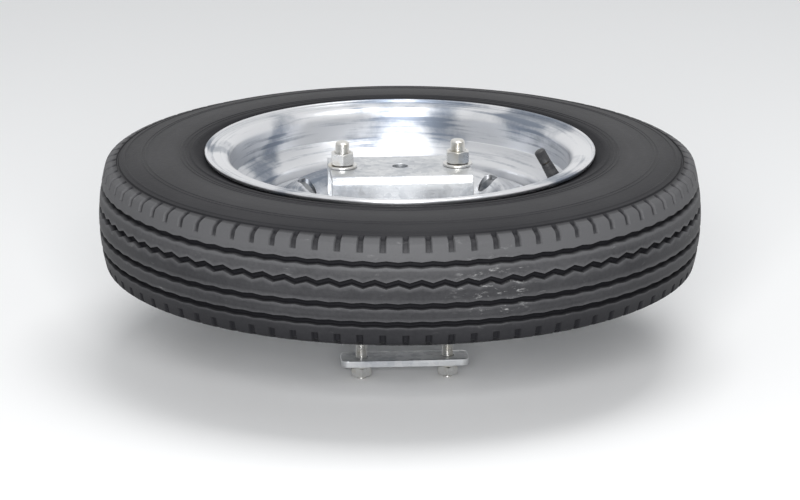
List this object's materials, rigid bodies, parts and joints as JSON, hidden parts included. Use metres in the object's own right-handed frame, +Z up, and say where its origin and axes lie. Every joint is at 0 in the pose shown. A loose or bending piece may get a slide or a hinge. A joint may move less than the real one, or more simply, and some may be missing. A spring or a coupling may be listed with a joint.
{
  "type": "trailer spare wheel with tongue carrier",
  "caption": "Ribbed tyre on a steel rim, carried flat on a bracket that clamps to a trailer's square tongue; it lifts off its studs.",
  "frame": {"origin": "middle of the base plate's underside, the face that rests on the top of the tongue", "axes": "+Z up along the wheel's axis, Y along the tongue with -Y towards the coupler, X across the tongue"},
  "size_m": [0.5308, 0.5308, 0.2004],
  "materials": {
    "zinc_steel": "bright zinc coat, satin",
    "bright_zinc": "bright zinc coat, streaky and reflective",
    "plated_fasteners": "zinc plated",
    "tyre_rubber": "dark rubber with a soft sheen",
    "valve_rubber": "matt black",
    "valve_brass": "turned",
    "valve_cap": "moulded black"
  },
  "bodies": {
    "carrier": {"base_plate": "zinc_steel", "riser_bracket": "zinc_steel", "clamp_bar_front": "zinc_steel", "clamp_bar_rear": "zinc_steel", "clamp_bolt_front_left": "plated_fasteners", "clamp_nut_front_left": "plated_fasteners", "clamp_washer_upper_front_left": "plated_fasteners", "clamp_washer_lower_front_left": "plated_fasteners", "clamp_bolt_front_right": "plated_fasteners", "clamp_nut_front_right": "plated_fasteners", "clamp_washer_upper_front_right": "plated_fasteners", "clamp_washer_lower_front_right": "plated_fasteners", "clamp_bolt_rear_left": "plated_fasteners", "clamp_nut_rear_left": "plated_fasteners", "clamp_washer_upper_rear_left": "plated_fasteners", "clamp_washer_lower_rear_left": "plated_fasteners", "clamp_bolt_rear_right": "plated_fasteners", "clamp_nut_rear_right": "plated_fasteners", "clamp_washer_upper_rear_right": "plated_fasteners", "clamp_washer_lower_rear_right": "plated_fasteners", "wheel_stud_left": "plated_fasteners", "wheel_stud_right": "plated_fasteners"},
    "wheel": {"tyre": "tyre_rubber", "rim_barrel": "bright_zinc", "wheel_disc": "bright_zinc", "valve_stem": "valve_rubber", "valve_insert": "valve_brass"},
    "pin": {"valve_pin": "valve_brass"},
    "cap": {"valve_cap": "valve_cap"},
    "retainer": {"retainer_channel": "zinc_steel"},
    "washer_left": {"wheel_washer_left": "plated_fasteners"},
    "nut_left": {"wheel_nut_left": "plated_fasteners"},
    "washer_right": {"wheel_washer_right": "plated_fasteners"},
    "nut_right": {"wheel_nut_right": "plated_fasteners"}
  },
  "joints": [
    {"name": "wheel_lift", "type": "slide", "parent": "carrier", "child": "wheel", "axis": [0, 0, 1], "range_m": [0, 0.08]},
    {"name": "retainer_lift", "type": "slide", "parent": "carrier", "child": "retainer", "axis": [0, 0, 1], "range_m": [0, 0.12]},
    {"name": "nut_left_lift", "type": "slide", "parent": "carrier", "child": "washer_left", "axis": [0, 0, 1], "range_m": [0, 0.16]},
    {"name": "nut_left_turn", "type": "hinge", "parent": "washer_left", "child": "nut_left", "pos_m": [-0.0508, 0, 0.1171], "axis": [0, 0, 1], "continuous": true},
    {"name": "nut_right_lift", "type": "slide", "parent": "carrier", "child": "washer_right", "axis": [0, 0, 1], "range_m": [0, 0.16]},
    {"name": "nut_right_turn", "type": "hinge", "parent": "washer_right", "child": "nut_right", "pos_m": [0.0508, 0, 0.1171], "axis": [0, 0, 1], "continuous": true},
    {"name": "cap_off", "type": "slide", "parent": "wheel", "child": "cap", "axis": [-0.4891, 0, 0.8722], "range_m": [0, 0.016]},
    {"name": "pin_press", "type": "slide", "parent": "wheel", "child": "pin", "axis": [0.4891, 0, -0.8722], "range_m": [0, 0.001], "stiffness_N_per_m": 300, "springref_m": -0.001}
  ],
  "couplings": [
    {"joint": "retainer_lift", "follows": "wheel_lift", "ratio": 1.5},
    {"joint": "nut_left_lift", "follows": "wheel_lift", "ratio": 2},
    {"joint": "nut_right_lift", "follows": "wheel_lift", "ratio": 2}
  ]
}
